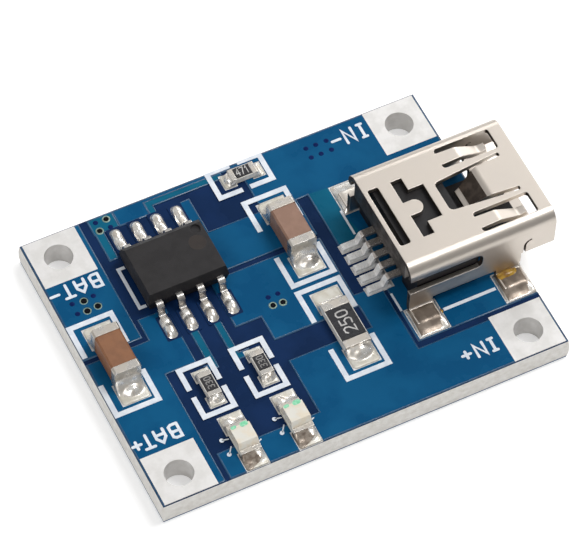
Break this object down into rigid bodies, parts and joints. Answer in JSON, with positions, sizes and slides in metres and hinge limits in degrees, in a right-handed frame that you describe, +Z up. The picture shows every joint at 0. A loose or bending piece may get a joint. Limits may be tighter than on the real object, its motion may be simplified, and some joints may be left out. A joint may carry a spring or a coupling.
{
  "type": "lithium battery charger module",
  "caption": "Small blue circuit board with plated wire holes at its corners, a charger chip, ceramic capacitors, resistors, indicator lamps and a mini USB socket over one end.",
  "frame": {"origin": "centre of the board's underside", "axes": "+X along the board towards the USB socket's mouth, +Y across the board towards the two minus terminals, +Z up from the board through its components"},
  "size_m": [0.027, 0.0192, 0.0055],
  "materials": {
    "laminate": "rough snapped glass laminate",
    "copper": "etched copper foil",
    "solder_mask": "glossy blue lacquer",
    "white_ink": "flat white ink",
    "tinned_pad": "hot-tinned copper, satin",
    "solder": "reflowed solder",
    "mould_compound": "fine matt moulding",
    "lead_frame": "tin-plated lead frame",
    "shell_nickel": "nickel-plated sheet",
    "core_plastic": "dark moulded plastic",
    "contact_metal": "tinned contact strip",
    "pale_ceramic": "pinkish brown fired ceramic",
    "brown_ceramic": "brown fired ceramic",
    "alumina": "white alumina",
    "black_glaze": "black glaze over the resistive film",
    "end_caps": "tin-plated chip ends",
    "lamp_resin": "milky cast resin",
    "lamp_base": "pale laminate chip",
    "lamp_die": "semiconductor chip under the resin"
  },
  "bodies": {
    "root": {"board_core": "laminate", "bottom_copper": "copper", "bottom_mask": "solder_mask", "charger_chip_body": "mould_compound", "charger_chip_leads": "lead_frame", "charger_chip_solder": "solder", "charger_chip_thermal_pad": "lead_frame", "input_capacitor_body": "pale_ceramic", "input_capacitor_caps": "end_caps", "input_capacitor_solder": "solder", "left_lamp_base": "lamp_base", "left_lamp_caps": "end_caps", "left_lamp_die": "lamp_die", "left_lamp_lens": "lamp_resin", "left_lamp_resistor_caps": "end_caps", "left_lamp_resistor_coat": "black_glaze", "left_lamp_resistor_plate": "alumina", "left_lamp_resistor_solder": "solder", "left_lamp_solder": "solder", "output_capacitor_body": "brown_ceramic", "output_capacitor_caps": "end_caps", "output_capacitor_solder": "solder", "program_resistor_caps": "end_caps", "program_resistor_coat": "black_glaze", "program_resistor_plate": "alumina", "program_resistor_solder": "solder", "right_lamp_base": "lamp_base", "right_lamp_caps": "end_caps", "right_lamp_die": "lamp_die", "right_lamp_lens": "lamp_resin", "right_lamp_resistor_caps": "end_caps", "right_lamp_resistor_coat": "black_glaze", "right_lamp_resistor_plate": "alumina", "right_lamp_resistor_solder": "solder", "right_lamp_solder": "solder", "sense_resistor_caps": "end_caps", "sense_resistor_coat": "black_glaze", "sense_resistor_plate": "alumina", "sense_resistor_solder": "solder", "terminal_battery_minus": "tinned_pad", "terminal_battery_plus": "tinned_pad", "terminal_input_minus": "tinned_pad", "terminal_input_plus": "tinned_pad", "top_copper": "copper", "top_mask": "solder_mask", "top_silkscreen": "white_ink", "usb_contact_solder": "solder", "usb_contacts": "contact_metal", "usb_core": "core_plastic", "usb_leg_solder": "solder", "usb_shell": "shell_nickel", "via_barrels": "tinned_pad"}
  },
  "joints": []
}
